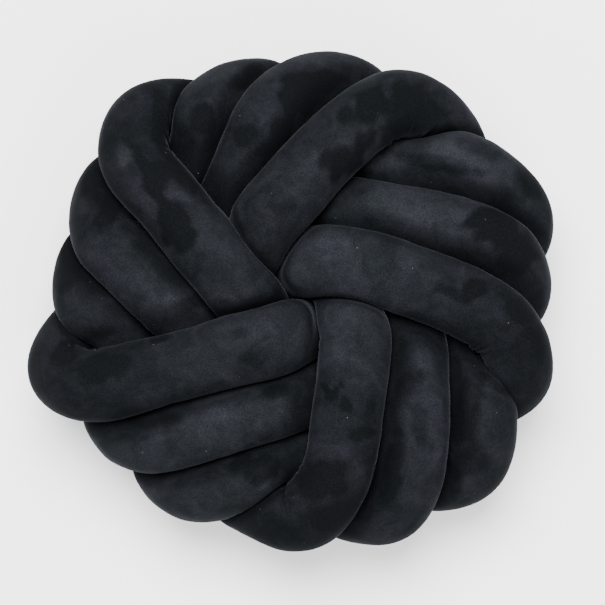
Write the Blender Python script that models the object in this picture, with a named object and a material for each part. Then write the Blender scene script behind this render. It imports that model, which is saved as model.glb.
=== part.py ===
"""Round knot cushion: one long stuffed velvet tube, plaited into a flat
pentagonal knot with fifteen loops round its rim and five crossing runs
on its crown. Metres, +Z up, lying on its back.

The knot. Five groups of three runs lie side by side on the face. Every
run starts in a loop at the rim, crosses the face towards the middle,
dives under the leading run of the next group, crosses the back and comes
up into another loop. The two gathered ends of the tube are tucked inside.
"""
import bpy
import bmesh
import numpy as np

MM = 0.001

# The tube, in millimetres. A section that is pressed on some sides swells
# on the others, because its cloth keeps its girth.
TUBE_RADIUS = 26.0
LEAST_SWELL = 0.9
MOST_SWELL = 1.14
SWELL_ROUNDS = 12
SWELL_PACE = 0.8
SWELL_WINDOW = 5
CORNER_SHARPNESS = 8.0

# Where strands meet: the gap between them, how far a section looks for a
# neighbour, and how much of its own length it leaves out. Of two strands
# that cross, the upper one leans over the lower one, as a height difference
# weighs HEIGHT_WEIGHT times as much as a distance in plan, and takes up to
# UPPER_SHARE of its room, nearly all of it once UPPER_REACH higher. Within
# OWN_BEND along the tube a bend meets itself squarely. The gathered inner
# side of a bend gives way to the strand that it holds, not at all in a bend
# up to SLIGHT_BEND and by BEND_SHARE in one of SHARP_BEND, where a bend is
# the tube's radius as a share of its own.
STRAND_GAP = 3.0
NEIGHBOUR_REACH = 3.4 * TUBE_RADIUS
NEIGHBOUR_STEP = 3
OWN_CLEARANCE = 13.0
OWN_BEND = 60.0
HEIGHT_WEIGHT = 2.5
UPPER_SHARE = 2.5
UPPER_REACH = 16.0
BEND_SHARE = 1.5
SLIGHT_BEND = 0.3
LEAST_LIMIT = 2.0
FAR = 1000.0
TINY = 1e-6

# Corners of a section, and the distance between sections: short where the
# tube bends sharply, long where it is straight, least at its ends
SIDES = 12
SHORT_STEP = 8.6
LONG_STEP = 14.2
END_STEP = 4.0
END_STEP_GROWTH = 0.15
SHARP_BEND = 0.8
BEND_WINDOW = 15
LINE_STEP = 1.0
BEND_SMOOTHING = 6.0

# The rounded ends, as shares of the tube's radius
END_ROUNDING = 0.9
LEAST_RADIUS = 0.08

# Height of the runs' centre line over and under the middle plane,
# for the leading, second and third run of each group
FACE_HEIGHT = {1: 43.0, 2: 33.0, 3: 22.0}
BACK_HEIGHT = {1: 40.0, 2: 39.0, 3: 33.0}
PRESSED_DEPTH = 23.5

# Share of the run's height at each station of a fold, for each lane
LIFT = {
    1: {"under": 0.12, "tip": 0.42, "shoulder": 0.78, "middle": 0.98, "foot": 0.90},
    2: {"under": -0.12, "tip": 0.30, "shoulder": 0.68, "middle": 0.98, "foot": 0.80},
    3: {"under": -0.12, "tip": 0.28, "shoulder": 0.64, "middle": 0.90, "foot": 0.58},
}

# One row for each fold, in plan from the middle of the knot (x, y):
# where it comes out from under its neighbour, its tip on the rim, the
# shoulder where the loop becomes a run, the run's middle and its foot.
#        under         tip           shoulder      middle        foot
FOLDS = {
    "A1": ((-79, 139), (-112, 134), (-120, 103), (-87, 57), (-46, 10)),
    "A2": ((-127, 88), (-139, 71), (-139, 42), (-114, 13), (-90, -9)),
    "A3": ((-145, 34), (-153, 10), (-152, -2), (-149, -13), (-141, -24)),
    "E1": ((-159, -31), (-173, -59), (-156, -73), (-88, -61), (-17, -41)),
    "E2": ((-130, -84), (-124, -98), (-108, -109), (-60, -101), (-2, -80)),
    "E3": ((-93, -122), (-81, -140), (-66, -145), (-37, -137), (-11, -121)),
    "D1": ((-32, -151), (5, -170), (30, -147), (42, -90), (47, -36)),
    "D2": ((42, -157), (72, -162), (84, -144), (91, -101), (89, -47)),
    "D3": ((107, -136), (133, -131), (141, -112), (140, -80), (127, -56)),
    "C1": ((155, -70), (168, -61), (157, -28), (94, 3), (29, 20)),
    "C2": ((166, -3), (168, 10), (156, 29), (113, 46), (54, 58)),
    "C3": ((169, 45), (171, 63), (160, 77), (127, 94), (82, 102)),
    "B1": ((121, 112), (102, 137), (73, 141), (19, 96), (-23, 44)),
    "B2": ((51, 154), (26, 161), (1, 149), (-23, 118), (-39, 77)),
    "B3": ((-18, 155), (-33, 154), (-48, 148), (-68, 129), (-73, 108)),
}
STATIONS = ("under", "tip", "shoulder", "middle", "foot")

# Order of the folds along the tube
ROUTE = "D2 B2 E2 C2 A2 D3 B1 E3 C1 A3 D1 B3 E1 C3 A1".split()

# The dive behind a foot, for each lane: distance past the foot, and height
# as a share of the face height, or of the back height where it is negative
DIVE = {
    1: ((14.0, 0.74), (34.0, 0.20), (58.0, -0.22), (84.0, -0.66), (110.0, -0.93)),
    2: ((12.0, 0.62), (26.0, 0.28), (52.0, -0.20), (80.0, -0.66), (108.0, -0.93)),
    3: ((11.0, 0.40), (24.0, 0.12), (52.0, -0.14), (84.0, -0.22), (118.0, -0.84)),
}
BACK_SHOULDER = 30.0
BACK_SHOULDER_LIFT = 0.88
LONG_BACK_RUN = 30.0
SHORT_BACK_RUN = 8.0

# The two hidden ends: distance from the first fold's under point, or past
# the last fold's foot, and height
START_END = ((104.0, -9.0), (70.0, -25.0), (34.0, -34.0))
LAST_END = ((30.0, 24.0), (54.0, 5.0), (72.0, -3.0))

VELVET_COLOUR = (0.020, 0.023, 0.028, 1.0)
VELVET_ROUGHNESS = 0.9


def clear_scene():
    for item in list(bpy.data.objects):
        bpy.data.objects.remove(item, do_unlink=True)


def fold_stations(name):
    """The five stations of a fold as points in space."""
    lane = int(name[1])
    points = {}
    for station, place in zip(STATIONS, FOLDS[name]):
        height = BACK_HEIGHT[4 - lane] if station == "under" else FACE_HEIGHT[lane]
        points[station] = np.array((place[0], place[1], LIFT[lane][station] * height))
    return points


def heading(start, end):
    """Unit direction in plan, and the distance."""
    step = (end - start)[:2]
    length = np.linalg.norm(step)
    return step / length, length


def beside(point, direction, distance, height):
    """A point moved in plan and set to a height."""
    place = point[:2] + direction * distance
    return np.array((place[0], place[1], height))


def back_run(start, end):
    """Points from the foot of one fold to the under point of the next."""
    lane = int(start[1])
    back_height = BACK_HEIGHT[4 - int(end[1])]
    foot = fold_stations(start)["foot"]
    under = fold_stations(end)["under"]
    direction, length = heading(foot, under)
    points = []
    for distance, share in DIVE[lane]:
        height = share * (FACE_HEIGHT[lane] if share > 0 else back_height)
        points.append(beside(foot, direction, distance, height))
    last = DIVE[lane][-1][0]
    shoulder = length - BACK_SHOULDER
    if shoulder - last > LONG_BACK_RUN:
        points.append(beside(foot, direction, (last + shoulder) / 2, -back_height))
    if shoulder - last > SHORT_BACK_RUN:
        points.append(beside(foot, direction, shoulder, -BACK_SHOULDER_LIFT * back_height))
    return points


def route_points():
    """Every station that the tube passes, from one end to the other."""
    first, last = ROUTE[0], ROUTE[-1]
    under = fold_stations(first)["under"]
    direction, _ = heading(fold_stations("A2")["foot"], under)
    points = [beside(under, direction, -distance, height) for distance, height in START_END]
    for index, name in enumerate(ROUTE):
        if index:
            points += back_run(ROUTE[index - 1], name)
        stations = fold_stations(name)
        points += [stations[key] for key in STATIONS]
    stations = fold_stations(last)
    direction, _ = heading(stations["middle"], stations["foot"])
    points += [beside(stations["foot"], direction, *row) for row in LAST_END]
    return np.array(points)


def rounded_path(points, samples=30):
    """Centripetal Catmull-Rom curve through the points."""
    ends = (2 * points[0] - points[1], 2 * points[-1] - points[-2])
    chain = np.vstack([ends[0], points, ends[1]])
    curve = []
    for i in range(1, len(chain) - 2):
        p0, p1, p2, p3 = chain[i - 1:i + 3]
        t0 = 0.0
        t1 = t0 + np.linalg.norm(p1 - p0) ** 0.5
        t2 = t1 + np.linalg.norm(p2 - p1) ** 0.5
        t3 = t2 + np.linalg.norm(p3 - p2) ** 0.5
        t = np.linspace(t1, t2, samples, endpoint=False)[:, None]
        a1 = (t1 - t) / (t1 - t0) * p0 + (t - t0) / (t1 - t0) * p1
        a2 = (t2 - t) / (t2 - t1) * p1 + (t - t1) / (t2 - t1) * p2
        a3 = (t3 - t) / (t3 - t2) * p2 + (t - t2) / (t3 - t2) * p3
        b1 = (t2 - t) / (t2 - t0) * a1 + (t - t0) / (t2 - t0) * a2
        b2 = (t3 - t) / (t3 - t1) * a2 + (t - t1) / (t3 - t1) * a3
        curve.append((t2 - t) / (t2 - t1) * b1 + (t - t1) / (t2 - t1) * b2)
    curve.append(points[-1:])
    return np.vstack(curve)


def arc_length(line):
    steps = np.linalg.norm(np.diff(line, axis=0), axis=1)
    return np.concatenate([[0.0], np.cumsum(steps)])


def sample_at(line, places):
    along = arc_length(line)
    return np.stack([np.interp(places, along, line[:, k]) for k in range(3)], axis=1)


def evenly(line, step):
    length = arc_length(line)[-1]
    return sample_at(line, np.linspace(0.0, length, int(round(length / step)) + 1))


def smoothed(line, width):
    """Gaussian smoothing that keeps both ends in place."""
    reach = int(3 * width) + 1
    kernel = np.exp(-0.5 * (np.arange(-reach, reach + 1) / width) ** 2)
    kernel /= kernel.sum()
    head = 2 * line[0] - line[reach:0:-1]
    tail = 2 * line[-1] - line[-2:-reach - 2:-1]
    padded = np.vstack([head, line, tail])
    return np.stack([np.convolve(padded[:, k], kernel, "valid") for k in range(3)], axis=1)


def bend_vector(line):
    """One over the bend's radius, towards its centre, all along a line."""
    tangent = np.gradient(line, axis=0) / LINE_STEP
    tangent /= np.linalg.norm(tangent, axis=1)[:, None]
    return np.gradient(tangent, axis=0) / LINE_STEP


def running_mean(values, window):
    padded = np.pad(values, window // 2, mode="edge")
    return np.convolve(padded, np.ones(window) / window, "valid")


def section_places(line):
    """Distances along the tube of its sections, closer in bends and ends."""
    along = arc_length(line)
    sharpness = np.linalg.norm(bend_vector(line), axis=1) * TUBE_RADIUS
    bend = np.clip(sharpness / SHARP_BEND, 0.0, 1.0)
    spacing = LONG_STEP + (SHORT_STEP - LONG_STEP) * running_mean(bend, BEND_WINDOW)
    to_end = np.minimum(along, along[-1] - along)
    at_end = np.minimum(spacing, END_STEP + END_STEP_GROWTH * to_end)
    density = 1 / np.where(to_end < TUBE_RADIUS, at_end, spacing)
    steps = 0.5 * (density[1:] + density[:-1]) * np.diff(along)
    count = np.concatenate([[0.0], np.cumsum(steps)])
    sections = int(round(count[-1]))
    places = np.interp(np.linspace(0.0, count[-1], sections + 1), count, along)
    return np.clip(places, LINE_STEP, along[-1] - LINE_STEP)


def section_axes(line, places):
    """Sideways and upward axes at each section."""
    tangent = sample_at(line, places + LINE_STEP) - sample_at(line, places - LINE_STEP)
    tangent /= np.linalg.norm(tangent, axis=1)[:, None]
    side = np.cross(tangent, (0.0, 0.0, 1.0))
    side /= np.linalg.norm(side, axis=1)[:, None]
    return side, np.cross(side, tangent)


def inner_side(bend, direction):
    """How much the inner side of a sharp bend faces a direction, 0 to 1."""
    sharpness = TUBE_RADIUS * (bend * direction).sum(axis=-1)
    return np.clip((sharpness - SLIGHT_BEND) / (SHARP_BEND - SLIGHT_BEND), 0.0, 1.0)


def neighbour_limit(centres, places, outward, line, along, bend):
    """How far each corner may reach before it meets the strand beside it."""
    limit = np.full(outward.shape[:2], FAR)
    for i, centre in enumerate(centres):
        offset = line - centre
        distance = np.linalg.norm(offset, axis=1)
        apart = np.abs(along - places[i])
        near = (apart > OWN_CLEARANCE) & (distance < NEIGHBOUR_REACH)
        if not near.any():
            continue
        offset = offset[near]
        direction = offset / distance[near][:, None]
        other = np.clip(apart[near] / OWN_BEND - 1, 0.0, 1.0)
        own_bend = bend[int(round(places[i] / LINE_STEP))]
        given = inner_side(bend[::NEIGHBOUR_STEP][near], -direction)
        taken = inner_side(own_bend, direction)
        normal = offset.copy()
        normal[:, 2] *= 1 + (HEIGHT_WEIGHT - 1) * other * np.clip(1 - given - taken, 0.0, 1.0)
        normal /= np.linalg.norm(normal, axis=1)[:, None]
        favour = UPPER_SHARE * np.tanh(-offset[:, 2] / UPPER_REACH)
        favour += BEND_SHARE * other * (given - taken)
        room = 0.5 * (np.einsum("ij,ij->i", offset, normal) - STRAND_GAP) + favour
        facing = outward[i] @ normal.T
        reach = room / np.maximum(facing, TINY)
        limit[i] = np.where(facing > TINY, reach, FAR).min(axis=1)
    return np.maximum(limit, LEAST_LIMIT)


def smallest(free, limit):
    """A soft minimum, so that pressed sides turn into round ones smoothly."""
    power = -CORNER_SHARPNESS
    return (free ** power + limit ** power) ** (1 / power)


def section_radii(outward, limit, floor):
    """Radius of every corner, with each section keeping the cloth's girth."""
    both = np.minimum(limit, floor)
    girth = 2 * SIDES * TUBE_RADIUS * np.sin(np.pi / SIDES)
    free = np.full(len(outward), TUBE_RADIUS)
    for _ in range(SWELL_ROUNDS):
        ring = outward * smallest(free[:, None], both)[..., None]
        round_trip = np.linalg.norm(np.roll(ring, -1, axis=1) - ring, axis=2).sum(axis=1)
        free = free * (girth / round_trip) ** SWELL_PACE
        free = np.clip(free, LEAST_SWELL * TUBE_RADIUS, MOST_SWELL * TUBE_RADIUS)
        free = running_mean(free, SWELL_WINDOW)
    return np.minimum(smallest(free[:, None], limit), floor)


def floor_distance(centres, outward, floor_height):
    """How far each corner may reach before it meets the surface below."""
    downward = -outward[..., 2]
    reach = (centres[:, None, 2] - floor_height) / np.maximum(downward, TINY)
    return np.where(downward > TINY, reach, FAR)


def end_rounding(places, length):
    """Share of the radius at each section, less than one at the ends."""
    to_end = np.minimum(places, length - places)
    bare = 1 - np.clip(to_end / (END_ROUNDING * TUBE_RADIUS), 0.0, 1.0)
    return np.maximum(np.sqrt(1 - bare ** 2), LEAST_RADIUS)


def tube_corners():
    """Corner points of every section, shape (sections, SIDES, 3)."""
    line = smoothed(evenly(rounded_path(route_points()), LINE_STEP), BEND_SMOOTHING)
    line = evenly(line, LINE_STEP)
    along = arc_length(line)
    places = section_places(line)
    centres = sample_at(line, places)
    side, up = section_axes(line, places)
    turn = 2 * np.pi * (np.arange(SIDES) + 0.5) / SIDES
    outward = (np.cos(turn)[None, :, None] * side[:, None, :]
               + np.sin(turn)[None, :, None] * up[:, None, :])
    neighbours = slice(None, None, NEIGHBOUR_STEP)
    limit = neighbour_limit(centres, places, outward, line[neighbours],
                            along[neighbours], bend_vector(line))
    floor_height = -(BACK_HEIGHT[1] + PRESSED_DEPTH)
    floor = floor_distance(centres, outward, floor_height)
    radius = section_radii(outward, limit, floor)
    rounding = end_rounding(places, along[-1])[:, None]
    pressed = (radius >= floor - TINY) & (rounding > 1 - TINY)
    corners = centres[:, None, :] + outward * (radius * rounding)[..., None]
    corners[pressed, 2] = floor_height
    corners[..., 2] -= floor_height
    low = corners.reshape(-1, 3).min(axis=0)
    high = corners.reshape(-1, 3).max(axis=0)
    corners[..., :2] -= ((low + high) / 2)[:2]
    return corners * MM


def velvet():
    material = bpy.data.materials.new("charcoal_velvet")
    material.use_nodes = True
    shader = material.node_tree.nodes["Principled BSDF"]
    shader.inputs["Base Color"].default_value = VELVET_COLOUR
    shader.inputs["Roughness"].default_value = VELVET_ROUGHNESS
    shader.inputs["Metallic"].default_value = 0.0
    return material


def knotted_tube(collection):
    """The tube as one closed loft through its sections."""
    corners = tube_corners()
    mesh = bpy.data.meshes.new("knotted_tube")
    form = bmesh.new()
    rings = [[form.verts.new(corner) for corner in ring] for ring in corners]
    for ring, following in zip(rings, rings[1:]):
        for k in range(SIDES):
            after = (k + 1) % SIDES
            form.faces.new((ring[k], ring[after], following[after], following[k]))
    form.faces.new(rings[0][::-1])
    form.faces.new(rings[-1])
    bmesh.ops.triangulate(form, faces=form.faces[:], quad_method="SHORT_EDGE")
    bmesh.ops.recalc_face_normals(form, faces=form.faces[:])
    form.to_mesh(mesh)
    form.free()
    mesh.shade_smooth()
    tube = bpy.data.objects.new("knotted_tube", mesh)
    tube.data.materials.append(velvet())
    collection.objects.link(tube)
    return tube


def main():
    clear_scene()
    collection = bpy.data.collections.new("knot_cushion")
    bpy.context.scene.collection.children.link(collection)
    knotted_tube(collection)


main()
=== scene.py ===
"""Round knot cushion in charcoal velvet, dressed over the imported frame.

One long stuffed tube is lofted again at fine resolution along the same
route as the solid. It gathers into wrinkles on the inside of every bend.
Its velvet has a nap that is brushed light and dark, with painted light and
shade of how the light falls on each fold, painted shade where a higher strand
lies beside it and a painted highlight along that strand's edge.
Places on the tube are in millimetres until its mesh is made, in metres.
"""
import bpy
import math
import numpy as np
from mathutils import Matrix


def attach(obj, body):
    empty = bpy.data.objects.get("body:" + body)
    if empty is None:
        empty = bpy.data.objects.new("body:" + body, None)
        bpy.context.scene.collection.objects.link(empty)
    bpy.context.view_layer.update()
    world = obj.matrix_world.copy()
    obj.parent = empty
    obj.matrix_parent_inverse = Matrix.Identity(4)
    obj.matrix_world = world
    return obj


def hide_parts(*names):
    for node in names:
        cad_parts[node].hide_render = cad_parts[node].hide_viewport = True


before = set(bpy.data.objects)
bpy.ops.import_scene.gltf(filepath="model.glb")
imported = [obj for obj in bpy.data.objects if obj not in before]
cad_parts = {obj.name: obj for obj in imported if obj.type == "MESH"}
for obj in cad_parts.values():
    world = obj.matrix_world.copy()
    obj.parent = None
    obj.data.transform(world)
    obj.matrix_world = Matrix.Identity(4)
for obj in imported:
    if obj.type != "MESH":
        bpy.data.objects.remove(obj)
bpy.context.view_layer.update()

MM = 0.001
NODE = "knotted_tube"

# The tube, in millimetres. A section that is pressed on some sides swells
# on the others, because its cloth keeps its girth.
TUBE_RADIUS = 26.0
LEAST_SWELL = 0.9
MOST_SWELL = 1.14
SWELL_ROUNDS = 12
SWELL_PACE = 0.8
SWELL_WINDOW = 15
CORNER_SHARPNESS = 12.0

# Where strands meet: the gap between them, how far a section looks for a
# neighbour, and how much of its own length it leaves out. Of two strands
# that cross, the upper one leans over the lower one, as a height difference
# weighs HEIGHT_WEIGHT times as much as a distance in plan, and takes up to
# UPPER_SHARE of its room, nearly all of it once UPPER_REACH higher. Within
# OWN_BEND along the tube a bend meets itself squarely. The gathered inner
# side of a bend gives way to the strand that it holds, not at all in a bend
# up to SLIGHT_BEND and by BEND_SHARE in one of SHARP_BEND, where a bend is
# the tube's radius as a share of its own.
STRAND_GAP = 0.3
NEIGHBOUR_REACH = 3.4 * TUBE_RADIUS
NEIGHBOUR_STEP = 3
OWN_CLEARANCE = 13.0
OWN_BEND = 60.0
HEIGHT_WEIGHT = 2.5
UPPER_SHARE = 2.5
UPPER_REACH = 16.0
BEND_SHARE = 1.5
SLIGHT_BEND = 0.3
SHARP_BEND = 0.8
LEAST_LIMIT = 2.0
MOST_LIMIT = 2 * TUBE_RADIUS
LIMIT_EASING = 3
FAR = 1000.0
TINY = 1e-6

# Corners of a fine section, and the distance between sections: short where
# the tube bends sharply, long where it is straight
SIDES = 46
SHORT_STEP = 2.05
LONG_STEP = 3.25
BEND_WINDOW = 15
LINE_STEP = 1.0
BEND_SMOOTHING = 6.0

# The rounded ends, as shares of the tube's radius
END_ROUNDING = 0.9
LEAST_RADIUS = 0.08

# Height of the runs' centre line over and under the middle plane,
# for the leading, second and third run of each group
FACE_HEIGHT = {1: 43.0, 2: 33.0, 3: 22.0}
BACK_HEIGHT = {1: 40.0, 2: 39.0, 3: 33.0}
PRESSED_DEPTH = 23.5

# Share of the run's height at each station of a fold, for each lane
LIFT = {
    1: {"under": 0.12, "tip": 0.42, "shoulder": 0.78, "middle": 0.98, "foot": 0.90},
    2: {"under": -0.12, "tip": 0.30, "shoulder": 0.68, "middle": 0.98, "foot": 0.80},
    3: {"under": -0.12, "tip": 0.28, "shoulder": 0.64, "middle": 0.90, "foot": 0.58},
}

# One row for each fold, in plan from the middle of the knot (x, y):
# where it comes out from under its neighbour, its tip on the rim, the
# shoulder where the loop becomes a run, the run's middle and its foot.
#        under         tip           shoulder      middle        foot
FOLDS = {
    "A1": ((-79, 139), (-112, 134), (-120, 103), (-87, 57), (-46, 10)),
    "A2": ((-127, 88), (-139, 71), (-139, 42), (-114, 13), (-90, -9)),
    "A3": ((-145, 34), (-153, 10), (-152, -2), (-149, -13), (-141, -24)),
    "E1": ((-159, -31), (-173, -59), (-156, -73), (-88, -61), (-17, -41)),
    "E2": ((-130, -84), (-124, -98), (-108, -109), (-60, -101), (-2, -80)),
    "E3": ((-93, -122), (-81, -140), (-66, -145), (-37, -137), (-11, -121)),
    "D1": ((-32, -151), (5, -170), (30, -147), (42, -90), (47, -36)),
    "D2": ((42, -157), (72, -162), (84, -144), (91, -101), (89, -47)),
    "D3": ((107, -136), (133, -131), (141, -112), (140, -80), (127, -56)),
    "C1": ((155, -70), (168, -61), (157, -28), (94, 3), (29, 20)),
    "C2": ((166, -3), (168, 10), (156, 29), (113, 46), (54, 58)),
    "C3": ((169, 45), (171, 63), (160, 77), (127, 94), (82, 102)),
    "B1": ((121, 112), (102, 137), (73, 141), (19, 96), (-23, 44)),
    "B2": ((51, 154), (26, 161), (1, 149), (-23, 118), (-39, 77)),
    "B3": ((-18, 155), (-33, 154), (-48, 148), (-68, 129), (-73, 108)),
}
STATIONS = ("under", "tip", "shoulder", "middle", "foot")

# Order of the folds along the tube
ROUTE = "D2 B2 E2 C2 A2 D3 B1 E3 C1 A3 D1 B3 E1 C3 A1".split()

# The dive behind a foot, for each lane: distance past the foot, and height
# as a share of the face height, or of the back height where it is negative
DIVE = {
    1: ((14.0, 0.74), (34.0, 0.20), (58.0, -0.22), (84.0, -0.66), (110.0, -0.93)),
    2: ((12.0, 0.62), (26.0, 0.28), (52.0, -0.20), (80.0, -0.66), (108.0, -0.93)),
    3: ((11.0, 0.40), (24.0, 0.12), (52.0, -0.14), (84.0, -0.22), (118.0, -0.84)),
}
BACK_SHOULDER = 30.0
BACK_SHOULDER_LIFT = 0.88
LONG_BACK_RUN = 30.0
SHORT_BACK_RUN = 8.0

# The two hidden ends: distance from the first fold's under point, or past
# the last fold's foot, and height
START_END = ((104.0, -9.0), (70.0, -25.0), (34.0, -34.0))
LAST_END = ((30.0, 24.0), (54.0, 5.0), (72.0, -3.0))

# Random fields: their seed, the spread of their waves as shares of the
# typical length, and how many standard deviations make 1
NOISE_SEED = 15
WAVE_SPREAD = (0.75, 1.35)
NOISE_RANGE = 1.6

# Low lumps and ripples of the cloth: height, typical length and waves. They
# fade in from OPEN_START to OPEN_RANGE more of the free radius, so that
# pressed sides stay even, and stay within CONTACT_SHARE of the room.
LUMP_HEIGHT = 0.7
LUMP_LENGTH = 46.0
LUMP_WAVES = 14
RIPPLE_HEIGHT = 0.22
RIPPLE_LENGTH = 15.0
RIPPLE_WAVES = 24
OPEN_START = 0.9
OPEN_RANGE = 0.3
CONTACT_SHARE = 0.995

# Wrinkles across the tube inside a bend: two trains of folds that wander
# along the tube, and patches where they are strong or weak
WRINKLE_DEPTH = 4.2
WRINKLE_LENGTH = 13.0
SECOND_WRINKLE = 1.7
SECOND_PHASE = 1.3
SECOND_SHARE = 0.4
WRINKLE_AROUND = 0.35
WANDER = 5.0
WANDER_LENGTH = 40.0
WANDER_WAVES = 10
PATCH_LENGTH = 26.0
PATCH_WAVES = 12
PATCH_LEVEL = 0.55
PATCH_SWING = 0.75
PATCH_MOST = 1.2
RIDGE_LEVEL = 0.25
GATHER_START = 0.10
GATHER_RANGE = 0.45
BEND_EASING = 5.0

# How light the loop and the run of each fold are: the brushed nap's own tone
# with painted light and shade of how the light falls on the fold
#        loop  run
NAP_AND_PAINTED_LIGHT_TONE = {
    "A1": (0.23, 0.52), "A2": (0.30, 0.70), "A3": (0.19, 0.70),
    "E1": (0.26, 0.55), "E2": (0.55, 0.67), "E3": (0.57, 0.64),
    "D1": (0.22, 0.62), "D2": (0.42, 0.56), "D3": (0.42, 0.40),
    "C1": (0.24, 0.62), "C2": (0.38, 0.78), "C3": (0.47, 0.84),
    "B1": (0.44, 0.54), "B2": (0.46, 0.37), "B3": (0.64, 0.30),
}
BACK_TONE = 0.5
MIDDLE_LOOP_SHARE = 0.35

# A fold's marks start this far before its under point, and its stations
# are looked for this many samples ahead of the last one
FOLD_LEAD = 50.0
STATION_WINDOW = 420

# Where a run dives, past its foot, it is darkened with painted shade
NOSE_SHADE_TONE = 0.15
NOSE_START = 14.0
NOSE_END = 34.0

# Marks in the nap of the face, mostly brushed and pressed patches, a few along
# strand edges painted shade and painted highlight: the fold, where (x, y) in the
# leaned face view from the middle of the knot, length, width and turn, and how
# much darker (or lighter, if negative)
#    fold   x     y   length width turn  darker
MARKS = (
    ("A1", -96, 131, 45, 20, 100, 0.6),
    ("A1", -103, 91, 26, 20, 60, 0.8),
    ("A1", -88, 52, 36, 22, 105, 1.2),
    ("A1", -115, 103, 42, 9, 125, 0.7),
    ("A1", -100, 73, 32, 9, 120, 0.8),
    ("A1", -127, 108, 22, 14, 80, -0.5),
    ("A1", -84, 98, 62, 20, 122, 0.55),
    ("A1", -48, 73, 26, 9, 130, 0.4),
    ("A2", -139, 67, 40, 13, 65, 0.7),
    ("A2", -101, 45, 28, 14, 125, 0.5),
    ("A2", -127, 52, 28, 16, 120, -0.4),
    ("A2", -75, -5, 24, 12, 20, 0.4),
    ("A3", -170, 24, 40, 20, 70, 0.6),
    ("A3", -149, 29, 30, 16, 40, 0.6),
    ("B3", -68, 136, 22, 17, 80, 1.1),
    ("B3", -36, 166, 28, 12, 30, 0.6),
    ("B3", -51, 114, 30, 9, 70, 0.4),
    ("B2", 5, 156, 34, 24, 120, 1.0),
    ("B2", 20, 163, 42, 18, 10, 0.6),
    ("B2", -36, 123, 19, 16, 40, 0.7),
    ("B2", -8, 126, 17, 13, 60, 1.0),
    ("B2", -20, 113, 26, 7, 30, 0.6),
    ("B2", -2, 144, 18, 10, 100, 0.6),
    ("B1", 61, 146, 28, 22, 60, 0.9),
    ("B1", 41, 138, 13, 13, 0, 0.7),
    ("B1", 39, 103, 36, 22, 10, 0.9),
    ("B1", -22, 50, 66, 50, 50, 0.45),
    ("B1", 56, 118, 20, 14, 45, 0.7),
    ("B1", 91, 146, 46, 36, 0, 0.6),
    ("B1", 78, 125, 26, 20, 40, 0.5),
    ("B1", 33, 91, 14, 7, 60, 0.6),
    ("B1", 112, 133, 30, 20, 120, 0.5),
    ("C3", 110, 101, 66, 11, -12, 0.6),
    ("C3", 142, 112, 42, 12, -25, 0.4),
    ("C3", 186, 93, 34, 28, 90, 0.6),
    ("C2", 153, 52, 40, 26, -20, 1.0),
    ("C2", 172, 35, 34, 30, -60, 0.7),
    ("C2", 135, 55, 17, 8, 20, 0.6),
    ("C1", 139, 5, 20, 15, 40, 1.0),
    ("C1", 175, -11, 24, 18, -40, 0.8),
    ("C1", 161, 1, 12, 8, 0, 0.4),
    ("C1", 119, 3, 34, 8, -25, 0.4),
    ("C1", 180, -37, 30, 24, 60, 0.4),
    ("D1", 31, -76, 10, 8, 30, 1.2),
    ("D1", 27, -72, 12, 3, 130, 0.8),
    ("D1", 35, -70, 10, 3, 60, 0.8),
    ("D1", 41, -82, 12, 7, -40, 1.0),
    ("D1", 54, -105, 20, 8, 10, 0.8),
    ("D1", 23, -141, 36, 28, 20, 0.8),
    ("D1", 36, -169, 52, 20, 0, 0.6),
    ("D1", 60, -90, 22, 9, 85, 0.4),
    ("D2", 89, -67, 26, 18, 60, 0.5),
    ("D2", 78, -128, 50, 14, 80, 0.5),
    ("D2", 97, -98, 28, 13, 100, 0.4),
    ("D3", 127, -98, 42, 8, 85, 0.5),
    ("D3", 142, -75, 36, 7, 80, 0.5),
    ("D3", 135, -128, 32, 20, 30, 0.5),
    ("E1", -101, -32, 15, 9, 0, 0.9),
    ("E1", -144, -54, 36, 20, 10, 0.7),
    ("E1", -175, -45, 24, 14, 70, 0.6),
    ("E1", -28, -47, 24, 14, 20, 0.4),
    ("E1", -39, -29, 13, 8, 0, 0.4),
    ("E2", -12, -73, 22, 12, 20, 0.6),
    ("E2", -107, -94, 42, 12, 0, 0.4),
    ("E3", -23, -133, 30, 18, 20, 0.8),
    ("E3", -39, -128, 22, 16, 60, 0.5),
)
MARK_EDGE = 0.28
MARK_STRENGTH = 0.62
MARK_RAGGED = 0.16
RAGGED_LENGTH = 13.0
RAGGED_WAVES = 24
FACE_START = -5.0

# Painted shade on a strand where a higher strand lies beside it, and a painted
# highlight along that higher strand's own edge: from how many radii away, how
# much higher the strand is, and how much darker or lighter
CREASE_REACH = 1.35
CREASE_HEIGHT = 12.0
CREASE_SHADE = 0.24
LIP_REACH = 1.8
LIP_PAINTED_HIGHLIGHT = 0.34

# Colours of the velvet, dark to light, over which its nap and the painted light and shade range
NAP_DARK = (0.0020, 0.0024, 0.0029, 1.0)
NAP_MIDDLE = (0.0053, 0.0060, 0.0074, 1.0)
NAP_LIGHT = (0.0150, 0.0167, 0.0201, 1.0)
LINT = (0.050, 0.050, 0.053, 1.0)
COOL_TINT = (0.98, 1.02, 0.98, 1.0)
WARM_TINT = (1.03, 0.98, 1.02, 1.0)

# How the velvet shines
ROUGHNESS = 0.8
SHINE = 0.015
SHEEN = 0.048
SHEEN_ROUGHNESS = 0.27
SHEEN_TINT = (0.68, 0.76, 0.92, 1.0)

# Noises of the nap and of the pile: scale, detail and distortion. Then how
# much the first two sway the tone, and the range over which a noise acts.
BROAD_NOISE = (24.0, 3.0, 0.7)
SMALL_NOISE = (75.0, 4.0, 0.9)
PILE_NOISE = (1000.0, 2.0, 0.0)
BROAD_SWING = 0.8
SMALL_SWING = 0.6
NOISE_FROM = 0.3
NOISE_TO = 0.7
PILE_DARKEST = 0.62
PILE_LIGHTEST = 1.38
PILE_BUMP = 0.25
PILE_DEPTH = 0.0006

# Lint: cells per metre, size as a share of a cell, and share of the cells
LINT_CELLS = 125.0
LINT_SIZE = 0.055
LINT_SHARE = 0.16

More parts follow.
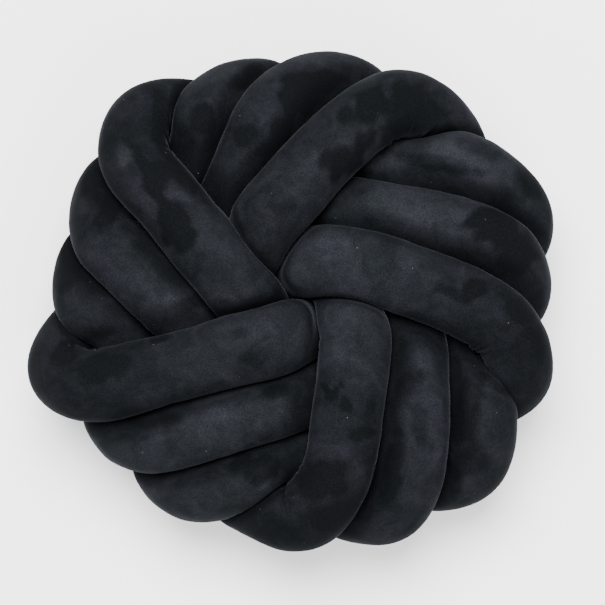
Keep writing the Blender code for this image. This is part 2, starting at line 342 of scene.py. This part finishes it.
# The ground, in metres
FLOOR_SIZE = 12.0
FLOOR_DROP = 0.0005
FLOOR_COLOUR = (0.97, 0.97, 0.97, 1.0)
FLOOR_ROUGHNESS = 0.95
FLOOR_SHINE = 0.1

# The light: place in metres and power in watts of each lamp
LAMPS = {
    "key": ((-0.2, 0.7, 2.6), 215.0),
    "fill": ((0.9, -1.7, 1.9), 54.0),
}
LAMP_SIZE = 1.8
LAMP_TARGET = (0.0, 0.0, 0.05)
WHITE = (1.0, 1.0, 1.0, 1.0)
SKY_STRENGTH = 1.5

# The view: how far it leans from straight above, its distance and width in
# metres, and where the middle of the knot lies in the photo, in pixels
FACE_LEAN = 9.0
CAMERA_DISTANCE = 2.3
CAMERA_TARGET = (0.0, 0.0, 0.0665)
VIEW_WIDTH = 0.461
SENSOR = 36.0
PHOTO_SIZE = 605.0
PHOTO_MIDDLE = (292.2, 300.1)


def fold_stations(name):
    """The five stations of a fold as points in space."""
    lane = int(name[1])
    points = {}
    for station, place in zip(STATIONS, FOLDS[name]):
        height = BACK_HEIGHT[4 - lane] if station == "under" else FACE_HEIGHT[lane]
        points[station] = np.array((place[0], place[1], LIFT[lane][station] * height))
    return points


def heading(start, end):
    """Unit direction in plan, and the distance."""
    step = (end - start)[:2]
    length = np.linalg.norm(step)
    return step / length, length


def beside(point, direction, distance, height):
    """A point moved in plan and set to a height."""
    place = point[:2] + direction * distance
    return np.array((place[0], place[1], height))


def back_run(start, end):
    """Points from the foot of one fold to the under point of the next."""
    lane = int(start[1])
    back_height = BACK_HEIGHT[4 - int(end[1])]
    foot = fold_stations(start)["foot"]
    under = fold_stations(end)["under"]
    direction, length = heading(foot, under)
    points = []
    for distance, share in DIVE[lane]:
        height = share * (FACE_HEIGHT[lane] if share > 0 else back_height)
        points.append(beside(foot, direction, distance, height))
    last = DIVE[lane][-1][0]
    shoulder = length - BACK_SHOULDER
    if shoulder - last > LONG_BACK_RUN:
        points.append(beside(foot, direction, (last + shoulder) / 2, -back_height))
    if shoulder - last > SHORT_BACK_RUN:
        points.append(beside(foot, direction, shoulder, -BACK_SHOULDER_LIFT * back_height))
    return points


def route_points():
    """Every station that the tube passes, from one end to the other."""
    first, last = ROUTE[0], ROUTE[-1]
    under = fold_stations(first)["under"]
    direction, _ = heading(fold_stations("A2")["foot"], under)
    points = [beside(under, direction, -distance, height) for distance, height in START_END]
    for index, name in enumerate(ROUTE):
        if index:
            points += back_run(ROUTE[index - 1], name)
        stations = fold_stations(name)
        points += [stations[key] for key in STATIONS]
    stations = fold_stations(last)
    direction, _ = heading(stations["middle"], stations["foot"])
    points += [beside(stations["foot"], direction, *row) for row in LAST_END]
    return np.array(points)


def rounded_path(points, samples=30):
    """Centripetal Catmull-Rom curve through the points."""
    ends = (2 * points[0] - points[1], 2 * points[-1] - points[-2])
    chain = np.vstack([ends[0], points, ends[1]])
    curve = []
    for i in range(1, len(chain) - 2):
        p0, p1, p2, p3 = chain[i - 1:i + 3]
        t0 = 0.0
        t1 = t0 + np.linalg.norm(p1 - p0) ** 0.5
        t2 = t1 + np.linalg.norm(p2 - p1) ** 0.5
        t3 = t2 + np.linalg.norm(p3 - p2) ** 0.5
        t = np.linspace(t1, t2, samples, endpoint=False)[:, None]
        a1 = (t1 - t) / (t1 - t0) * p0 + (t - t0) / (t1 - t0) * p1
        a2 = (t2 - t) / (t2 - t1) * p1 + (t - t1) / (t2 - t1) * p2
        a3 = (t3 - t) / (t3 - t2) * p2 + (t - t2) / (t3 - t2) * p3
        b1 = (t2 - t) / (t2 - t0) * a1 + (t - t0) / (t2 - t0) * a2
        b2 = (t3 - t) / (t3 - t1) * a2 + (t - t1) / (t3 - t1) * a3
        curve.append((t2 - t) / (t2 - t1) * b1 + (t - t1) / (t2 - t1) * b2)
    curve.append(points[-1:])
    return np.vstack(curve)


def arc_length(line):
    steps = np.linalg.norm(np.diff(line, axis=0), axis=1)
    return np.concatenate([[0.0], np.cumsum(steps)])


def sample_at(line, places):
    along = arc_length(line)
    return np.stack([np.interp(places, along, line[:, k]) for k in range(3)], axis=1)


def evenly(line, step):
    length = arc_length(line)[-1]
    return sample_at(line, np.linspace(0.0, length, int(round(length / step)) + 1))


def smoothed(line, width):
    """Gaussian smoothing that keeps both ends in place."""
    reach = int(3 * width) + 1
    kernel = np.exp(-0.5 * (np.arange(-reach, reach + 1) / width) ** 2)
    kernel /= kernel.sum()
    head = 2 * line[0] - line[reach:0:-1]
    tail = 2 * line[-1] - line[-2:-reach - 2:-1]
    padded = np.vstack([head, line, tail])
    return np.stack([np.convolve(padded[:, k], kernel, "valid") for k in range(3)], axis=1)


def bend_vector(line):
    """One over the bend's radius, towards its centre, all along a line."""
    tangent = np.gradient(line, axis=0) / LINE_STEP
    tangent /= np.linalg.norm(tangent, axis=1)[:, None]
    return np.gradient(tangent, axis=0) / LINE_STEP


def running_mean(values, window):
    padded = np.pad(values, window // 2, mode="edge")
    return np.convolve(padded, np.ones(window) / window, "valid")


def soft_step(share):
    """A share kept within 0 to 1, with soft ends."""
    share = np.clip(share, 0.0, 1.0)
    return share * share * (3 - 2 * share)


def section_places(line):
    """Distances along the tube of its sections, closer in bends."""
    fine = evenly(line, LINE_STEP)
    along = arc_length(fine)
    sharpness = np.linalg.norm(bend_vector(fine), axis=1) * TUBE_RADIUS
    bend = np.clip(sharpness / SHARP_BEND, 0.0, 1.0)
    spacing = LONG_STEP + (SHORT_STEP - LONG_STEP) * running_mean(bend, BEND_WINDOW)
    density = 1 / spacing
    steps = 0.5 * (density[1:] + density[:-1]) * np.diff(along)
    count = np.concatenate([[0.0], np.cumsum(steps)])
    sections = int(round(count[-1]))
    places = np.interp(np.linspace(0.0, count[-1], sections + 1), count, along)
    return np.clip(places, LINE_STEP, arc_length(line)[-1] - LINE_STEP)


def section_axes(line, places):
    """Sideways and upward axes at each section."""
    tangent = sample_at(line, places + LINE_STEP) - sample_at(line, places - LINE_STEP)
    tangent /= np.linalg.norm(tangent, axis=1)[:, None]
    side = np.cross(tangent, (0.0, 0.0, 1.0))
    side /= np.linalg.norm(side, axis=1)[:, None]
    return side, np.cross(side, tangent)


def inner_side(bend, direction):
    """How much the inner side of a sharp bend faces a direction, 0 to 1."""
    sharpness = TUBE_RADIUS * (bend * direction).sum(axis=-1)
    return np.clip((sharpness - SLIGHT_BEND) / (SHARP_BEND - SLIGHT_BEND), 0.0, 1.0)


def neighbour_limit(centres, places, outward, line, along, bend):
    """How far each corner may reach before it meets the strand beside it.

    Of two strands that cross, the upper one keeps more of its round, and the
    gathered inner side of a bend gives way. The second result is how much
    higher than the corner's own strand that neighbour lies.
    """
    limit = np.full(outward.shape[:2], FAR)
    above = np.zeros(outward.shape[:2])
    for i, centre in enumerate(centres):
        offset = line - centre
        distance = np.linalg.norm(offset, axis=1)
        apart = np.abs(along - places[i])
        near = (apart > OWN_CLEARANCE) & (distance < NEIGHBOUR_REACH)
        if not near.any():
            continue
        offset = offset[near]
        direction = offset / distance[near][:, None]
        other = np.clip(apart[near] / OWN_BEND - 1, 0.0, 1.0)
        own_bend = bend[int(round(places[i] / LINE_STEP))]
        given = inner_side(bend[::NEIGHBOUR_STEP][near], -direction)
        taken = inner_side(own_bend, direction)
        normal = offset.copy()
        normal[:, 2] *= 1 + (HEIGHT_WEIGHT - 1) * other * np.clip(1 - given - taken, 0.0, 1.0)
        normal /= np.linalg.norm(normal, axis=1)[:, None]
        favour = UPPER_SHARE * np.tanh(-offset[:, 2] / UPPER_REACH)
        favour += BEND_SHARE * other * (given - taken)
        room = 0.5 * (np.einsum("ij,ij->i", offset, normal) - STRAND_GAP) + favour
        facing = outward[i] @ normal.T
        reach = np.where(facing > TINY, room / np.maximum(facing, TINY), FAR)
        nearest = reach.argmin(axis=1)
        limit[i] = reach.min(axis=1)
        above[i] = offset[nearest, 2]
    limit = np.clip(limit, LEAST_LIMIT, MOST_LIMIT)
    padded = np.pad(limit, ((LIMIT_EASING, LIMIT_EASING), (0, 0)), mode="edge")
    rows = len(limit)
    eased = sum(padded[k:k + rows] for k in range(2 * LIMIT_EASING + 1))
    return eased / (2 * LIMIT_EASING + 1), above


def smallest(free, limit):
    """A soft minimum, so that pressed sides turn into round ones smoothly."""
    power = -CORNER_SHARPNESS
    return (free ** power + limit ** power) ** (1 / power)


def section_radii(outward, limit, floor):
    """Radius of every corner, with each section keeping the cloth's girth.

    The second result is the free radius of each section.
    """
    both = np.minimum(limit, floor)
    girth = 2 * SIDES * TUBE_RADIUS * np.sin(np.pi / SIDES)
    free = np.full(len(outward), TUBE_RADIUS)
    for _ in range(SWELL_ROUNDS):
        ring = outward * smallest(free[:, None], both)[..., None]
        round_trip = np.linalg.norm(np.roll(ring, -1, axis=1) - ring, axis=2).sum(axis=1)
        free = free * (girth / round_trip) ** SWELL_PACE
        free = np.clip(free, LEAST_SWELL * TUBE_RADIUS, MOST_SWELL * TUBE_RADIUS)
        free = running_mean(free, SWELL_WINDOW)
    return np.minimum(smallest(free[:, None], limit), floor), free


def soft_noise(points, length, waves, seed):
    """Smooth random field with one typical wavelength, about -1 to 1."""
    source = np.random.default_rng(seed)
    direction = source.normal(size=(waves, 3))
    direction /= np.linalg.norm(direction, axis=1)[:, None]
    rate = 2 * np.pi / (length * source.uniform(*WAVE_SPREAD, size=waves))
    phase = source.uniform(0, 2 * np.pi, size=waves)
    total = np.zeros(points.shape[:-1])
    for wave in range(waves):
        total += np.cos(points @ (direction[wave] * rate[wave]) + phase[wave])
    return total * math.sqrt(2 / waves) / NOISE_RANGE


def straightened(places, turn, share=1.0):
    """Each corner on the straightened tube, its round scaled by a share."""
    shape = (len(places), len(turn))
    return np.stack([
        np.broadcast_to(places[:, None], shape),
        np.broadcast_to(TUBE_RADIUS * np.cos(turn) * share, shape),
        np.broadcast_to(TUBE_RADIUS * np.sin(turn) * share, shape),
    ], axis=-1)


def gather_relief(places, turn, squeeze):
    """Folds across the tube where its cloth is pushed together."""
    straight = straightened(places, turn, WRINKLE_AROUND)
    wander = soft_noise(straight, WANDER_LENGTH, WANDER_WAVES, NOISE_SEED) * WANDER
    course = (straight[..., 0] + wander) * 2 * np.pi
    fold = (1 - SECOND_SHARE) * np.cos(course / WRINKLE_LENGTH)
    fold += SECOND_SHARE * np.cos(course / (SECOND_WRINKLE * WRINKLE_LENGTH) + SECOND_PHASE)
    patchy = soft_noise(straight, PATCH_LENGTH, PATCH_WAVES, NOISE_SEED + 1)
    patchy = np.clip(PATCH_LEVEL + PATCH_SWING * patchy, 0.0, PATCH_MOST)
    ridge = RIDGE_LEVEL - (1 - np.abs(fold)) ** 2
    gathered = soft_step((squeeze - GATHER_START) / GATHER_RANGE)
    return WRINKLE_DEPTH * gathered * patchy * ridge


def cloth_relief(places, turn, openness, squeeze):
    """Lumps and ripples on the open sides, and wrinkles inside the bends."""
    straight = straightened(places, turn)
    lumps = soft_noise(straight, LUMP_LENGTH, LUMP_WAVES, NOISE_SEED + 2)
    ripples = soft_noise(straight, RIPPLE_LENGTH, RIPPLE_WAVES, NOISE_SEED + 3)
    open_air = np.clip((openness - OPEN_START) / OPEN_RANGE, 0.0, 1.0)
    relief = (LUMP_HEIGHT * lumps + RIPPLE_HEIGHT * ripples) * open_air
    return relief + gather_relief(places, turn, squeeze)


def station_places(line, along):
    """Where along the tube each station of each fold lies."""
    found = {}
    start = 0
    for name in ROUTE:
        stations = fold_stations(name)
        for key in STATIONS:
            window = line[start:start + STATION_WINDOW]
            nearest = int(np.linalg.norm(window - stations[key], axis=1).argmin())
            start += nearest
            found[name, key] = along[start]
    return found


def face_view(corners):
    """Where each corner shows in the leaned view, and its height there."""
    lean = math.radians(FACE_LEAN)
    height = corners[..., 2] - (BACK_HEIGHT[1] + PRESSED_DEPTH)
    nearer = height * math.cos(lean) - corners[..., 1] * math.sin(lean)
    enlarged = CAMERA_DISTANCE / (CAMERA_DISTANCE - nearer * MM)
    across = corners[..., 0] * enlarged
    upward = (corners[..., 1] * math.cos(lean) + height * math.sin(lean)) * enlarged
    return across, upward, height


def brushed_and_painted_light_tone(places, found):
    """How light each section is, from fold to fold: the brushed nap with painted light and shade,
    and painted shade where a run dives.
    """
    anchors = [0.0]
    tones = [BACK_TONE]
    for name in ROUTE:
        loop, run = NAP_AND_PAINTED_LIGHT_TONE[name]
        foot = found[name, "foot"]
        anchors += [found[name, key] for key in STATIONS]
        # Painted shade on the diving run past each foot
        anchors += [foot + NOSE_START, foot + NOSE_END]
        middle = MIDDLE_LOOP_SHARE * loop + (1 - MIDDLE_LOOP_SHARE) * run
        tones += [(loop + BACK_TONE) / 2, loop, loop, middle, run, run, NOSE_SHADE_TONE]
    order = np.argsort(anchors, kind="stable")
    return np.interp(places, np.array(anchors)[order], np.array(tones)[order])


def nap_and_painted_light_field(corners, places, line, along):
    """How light the nap is painted at each corner: its tone with painted light and shade, and the
    marks in it.
    """
    found = station_places(line, along)
    owners = np.zeros(len(places), dtype=int)
    for number, name in enumerate(ROUTE):
        owners[places >= found[name, "under"] - FOLD_LEAD] = number
    nap = np.repeat(brushed_and_painted_light_tone(places, found)[:, None], SIDES, axis=1)
    across, upward, height = face_view(corners)
    ragged = soft_noise(corners, RAGGED_LENGTH, RAGGED_WAVES, NOISE_SEED + 5) * MARK_RAGGED
    for fold, x, y, length, width, turn, darker in MARKS:
        angle = math.radians(turn)
        dx = across - x
        dy = upward - y
        run = (dx * math.cos(angle) + dy * math.sin(angle)) / (0.5 * length)
        side = (dy * math.cos(angle) - dx * math.sin(angle)) / (0.5 * width)
        reach = np.sqrt(run ** 2 + side ** 2) + ragged
        inside = soft_step((1 + MARK_EDGE - reach) / (2 * MARK_EDGE))
        inside = inside * (owners[:, None] == ROUTE.index(fold)) * (height > FACE_START)
        nap = nap - MARK_STRENGTH * darker * inside
    return nap


def nearness(room, reach):
    """1 where a strand touches its neighbour, 0 from a number of radii away."""
    return soft_step((reach - room) / (reach - 1))


def floor_distance(centres, outward, floor_height):
    """How far each corner may reach before it meets the surface below."""
    downward = -outward[..., 2]
    reach = (centres[:, None, 2] - floor_height) / np.maximum(downward, TINY)
    return np.where(downward > TINY, reach, FAR)


def end_rounding(places, length):
    """Share of the radius at each section, less than one at the ends."""
    to_end = np.minimum(places, length - places)
    bare = 1 - np.clip(to_end / (END_ROUNDING * TUBE_RADIUS), 0.0, 1.0)
    return np.maximum(np.sqrt(1 - bare ** 2), LEAST_RADIUS)


def tube_surface():
    """Corner points of every fine section, and the tone of their nap with its painted light and
    shade.
    """
    line = smoothed(evenly(rounded_path(route_points()), LINE_STEP), BEND_SMOOTHING)
    line = evenly(line, LINE_STEP)
    bend = bend_vector(line)
    along = arc_length(line)
    places = section_places(line)
    centres = sample_at(line, places)
    side, up = section_axes(line, places)
    turn = 2 * np.pi * (np.arange(SIDES) + 0.5) / SIDES
    outward = (np.cos(turn)[None, :, None] * side[:, None, :]
               + np.sin(turn)[None, :, None] * up[:, None, :])
    neighbours = slice(None, None, NEIGHBOUR_STEP)
    limit, above = neighbour_limit(centres, places, outward, line[neighbours],
                                   along[neighbours], bend)
    floor_height = -(BACK_HEIGHT[1] + PRESSED_DEPTH)
    floor = floor_distance(centres, outward, floor_height)
    radius, free = section_radii(outward, limit, floor)
    room = limit / free[:, None]

    bend = smoothed(bend, BEND_EASING)
    bend = np.stack([np.interp(places, along, bend[:, k]) for k in range(3)], axis=1)
    squeeze = np.einsum("ijk,ik->ij", outward, bend) * TUBE_RADIUS
    radius = radius + cloth_relief(places, turn, room, squeeze)
    radius = np.minimum(radius, np.minimum(limit * CONTACT_SHARE, floor))
    radius = np.maximum(radius, LEAST_LIMIT)

    rounding = end_rounding(places, along[-1])[:, None]
    corners = centres[:, None, :] + outward * (radius * rounding)[..., None]
    corners[..., 2] = np.maximum(corners[..., 2] - floor_height, 0.0)

    nap = nap_and_painted_light_field(corners, places, line, along)
    # Painted highlight on a higher strand's edge, painted shade on the lower strand beside it
    nap += LIP_PAINTED_HIGHLIGHT * nearness(room, LIP_REACH) * np.clip(-above / CREASE_HEIGHT, 0.0, 1.0)
    nap -= CREASE_SHADE * nearness(room, CREASE_REACH) * np.clip(above / CREASE_HEIGHT, 0.0, 1.0)

    low = corners.reshape(-1, 3).min(axis=0)
    high = corners.reshape(-1, 3).max(axis=0)
    corners[..., :2] -= ((low + high) / 2)[:2]
    return corners * MM, nap


def tube_object(corners, nap):
    """The fine loft as a mesh object, with the tone of its nap and its painted light and shade."""
    sections = len(corners)
    index = np.arange(sections * SIDES).reshape(sections, SIDES)
    after = np.roll(index, -1, axis=1)
    quads = np.stack([index[:-1], index[1:], after[1:], after[:-1]], axis=-1).reshape(-1, 4)
    faces = quads.tolist()
    faces.append(index[0].tolist())
    faces.append(index[-1][::-1].tolist())
    mesh = bpy.data.meshes.new("velvet_tube")
    mesh.from_pydata(corners.reshape(-1, 3).tolist(), [], faces)
    mesh.validate()
    mesh.update()
    mesh.shade_smooth()
    # The nap attribute carries the nap's tone with painted light and shade in it
    tone = mesh.attributes.new("nap", "FLOAT", "POINT")
    tone.data.foreach_set("value", nap.astype(np.float32).ravel())
    tube = bpy.data.objects.new("velvet_tube", mesh)
    bpy.context.scene.collection.objects.link(tube)
    return tube


def noise_node(tree, place, look):
    """A noise of the given scale, detail and distortion."""
    node = tree.nodes.new("ShaderNodeTexNoise")
    for key, value in zip(("Scale", "Detail", "Distortion"), look):
        node.inputs[key].default_value = value
    tree.links.new(place, node.inputs["Vector"])
    return node.outputs["Fac"]


def math_node(tree, operation, first, second, third=None):
    """A Math node fed by sockets or plain numbers."""
    node = tree.nodes.new("ShaderNodeMath")
    node.operation = operation
    for slot, value in enumerate((first, second, third)):
        if value is None:
            continue
        if isinstance(value, (int, float)):
            node.inputs[slot].default_value = value
        else:
            tree.links.new(value, node.inputs[slot])
    return node.outputs[0]


def ramp_node(tree, level, stops, interpolation="LINEAR"):
    """A colour ramp through stops of position and colour."""
    node = tree.nodes.new("ShaderNodeValToRGB")
    ramp = node.color_ramp
    ramp.interpolation = interpolation
    for index in (0, -1):
        ramp.elements[index].position, ramp.elements[index].color = stops[index]
    for position, colour in stops[1:-1]:
        ramp.elements.new(position).color = colour
    tree.links.new(level, node.inputs["Fac"])
    return node.outputs["Color"]


def multiply_node(tree, first, second):
    """Two colours, or a colour and a number, multiplied."""
    node = tree.nodes.new("ShaderNodeMix")
    node.data_type = "RGBA"
    node.blend_type = "MULTIPLY"
    node.inputs["Factor"].default_value = 1.0
    tree.links.new(first, node.inputs["A"])
    tree.links.new(second, node.inputs["B"])
    return node.outputs["Result"]


def nap_and_painted_light_colour(tree, place):
    """Colour of the brushed nap with its painted light and shade, slightly cool and warm from place
    to place.
    """
    tone = tree.nodes.new("ShaderNodeAttribute")
    tone.attribute_name = "nap"
    broad = noise_node(tree, place, BROAD_NOISE)
    small = noise_node(tree, place, SMALL_NOISE)
    level = math_node(tree, "MULTIPLY_ADD", broad, BROAD_SWING, -BROAD_SWING / 2)
    level = math_node(tree, "ADD", level, tone.outputs["Fac"])
    level = math_node(tree, "MULTIPLY_ADD", small, SMALL_SWING, level)
    level = math_node(tree, "SUBTRACT", level, SMALL_SWING / 2)
    nap = ramp_node(tree, level, ((0.0, NAP_DARK), (0.5, NAP_MIDDLE), (1.0, NAP_LIGHT)), "B_SPLINE")
    tint = ramp_node(tree, broad, ((NOISE_FROM, COOL_TINT), (NOISE_TO, WARM_TINT)))
    return multiply_node(tree, nap, tint)


def pile_specks(tree, pile):
    """The grain of the pile, as a factor on the colour."""
    specks = tree.nodes.new("ShaderNodeMapRange")
    specks.inputs["From Min"].default_value = NOISE_FROM
    specks.inputs["From Max"].default_value = NOISE_TO
    specks.inputs["To Min"].default_value = PILE_DARKEST
    specks.inputs["To Max"].default_value = PILE_LIGHTEST
    tree.links.new(pile, specks.inputs["Value"])
    return specks.outputs["Result"]


def with_lint(tree, place, colour):
    """The colour with a few light specks of lint on it."""
    cells = tree.nodes.new("ShaderNodeTexVoronoi")
    cells.inputs["Scale"].default_value = LINT_CELLS
    cells.inputs["Randomness"].default_value = 1.0
    tree.links.new(place, cells.inputs["Vector"])
    near = math_node(tree, "LESS_THAN", cells.outputs["Distance"], LINT_SIZE)
    pick = tree.nodes.new("ShaderNodeSeparateColor")
    tree.links.new(cells.outputs["Color"], pick.inputs["Color"])
    rare = math_node(tree, "LESS_THAN", pick.outputs["Red"], LINT_SHARE)
    dusty = tree.nodes.new("ShaderNodeMix")
    dusty.data_type = "RGBA"
    dusty.inputs["B"].default_value = LINT
    tree.links.new(math_node(tree, "MULTIPLY", near, rare), dusty.inputs["Factor"])
    tree.links.new(colour, dusty.inputs["A"])
    return dusty.outputs["Result"]


def velvet_material():
    """Short pile: brushed light and dark patches with painted light and shade, grain, lint and
    sheen.
    """
    material = bpy.data.materials.new("charcoal_velvet")
    material.use_nodes = True
    tree = material.node_tree
    shader = tree.nodes["Principled BSDF"]
    shader.inputs["Roughness"].default_value = ROUGHNESS
    shader.inputs["Sheen Weight"].default_value = SHEEN
    shader.inputs["Sheen Roughness"].default_value = SHEEN_ROUGHNESS
    shader.inputs["Sheen Tint"].default_value = SHEEN_TINT
    shader.inputs["Specular IOR Level"].default_value = SHINE

    place = tree.nodes.new("ShaderNodeTexCoord").outputs["Object"]
    pile = noise_node(tree, place, PILE_NOISE)
    colour = multiply_node(tree, nap_and_painted_light_colour(tree, place), pile_specks(tree, pile))
    tree.links.new(with_lint(tree, place, colour), shader.inputs["Base Color"])

    bump = tree.nodes.new("ShaderNodeBump")
    bump.inputs["Strength"].default_value = PILE_BUMP
    bump.inputs["Distance"].default_value = PILE_DEPTH
    tree.links.new(pile, bump.inputs["Height"])
    tree.links.new(bump.outputs["Normal"], shader.inputs["Normal"])
    return material


def floor_stage():
    """The light ground that the cushion lies on."""
    bpy.ops.mesh.primitive_plane_add(size=FLOOR_SIZE, location=(0.0, 0.0, -FLOOR_DROP))
    floor = bpy.context.object
    floor.name = "floor"
    material = bpy.data.materials.new("floor")
    material.use_nodes = True
    shader = material.node_tree.nodes["Principled BSDF"]
    shader.inputs["Base Color"].default_value = FLOOR_COLOUR
    shader.inputs["Roughness"].default_value = FLOOR_ROUGHNESS
    shader.inputs["Specular IOR Level"].default_value = FLOOR_SHINE
    floor.data.materials.append(material)


def aim(item, target):
    """Turn an object's -Z axis towards a point, its +Y axis upwards."""
    back = np.array(item.location) - np.array(target)
    back /= np.linalg.norm(back)
    right = np.cross((0.0, 1.0, 0.0), back)
    right /= np.linalg.norm(right)
    up = np.cross(back, right)
    rows = [[right[i], up[i], back[i]] for i in range(3)]
    item.rotation_euler = Matrix(rows).to_euler()


def area_light(name, place, power):
    """A round lamp aimed at the cushion."""
    data = bpy.data.lights.new(name, "AREA")
    data.shape = "DISK"
    data.size = LAMP_SIZE
    data.energy = power
    light = bpy.data.objects.new(name, data)
    bpy.context.scene.collection.objects.link(light)
    light.location = place
    aim(light, LAMP_TARGET)


def light_the_scene():
    """A white sky and the two lamps."""
    world = bpy.data.worlds.new("studio")
    bpy.context.scene.world = world
    world.use_nodes = True
    background = world.node_tree.nodes["Background"]
    background.inputs["Color"].default_value = WHITE
    background.inputs["Strength"].default_value = SKY_STRENGTH
    for name, (place, power) in LAMPS.items():
        area_light(name, place, power)


def set_camera():
    """The photo's view of the face."""
    lean = math.radians(FACE_LEAN)
    away = np.array((0.0, -math.sin(lean), math.cos(lean)))
    data = bpy.data.cameras.new("camera")
    data.sensor_width = SENSOR
    data.lens = SENSOR * CAMERA_DISTANCE / VIEW_WIDTH
    camera = bpy.data.objects.new("camera", data)
    bpy.context.scene.collection.objects.link(camera)
    camera.location = np.array(CAMERA_TARGET) + away * CAMERA_DISTANCE
    aim(camera, CAMERA_TARGET)
    data.shift_x = (PHOTO_SIZE / 2 - PHOTO_MIDDLE[0]) / PHOTO_SIZE
    data.shift_y = (PHOTO_MIDDLE[1] - PHOTO_SIZE / 2) / PHOTO_SIZE
    bpy.context.scene.camera = camera


set_camera()
corners, nap = tube_surface()
tube = tube_object(corners, nap)
tube.data.materials.append(velvet_material())
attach(tube, "root")
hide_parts(NODE)
floor_stage()
light_the_scene()
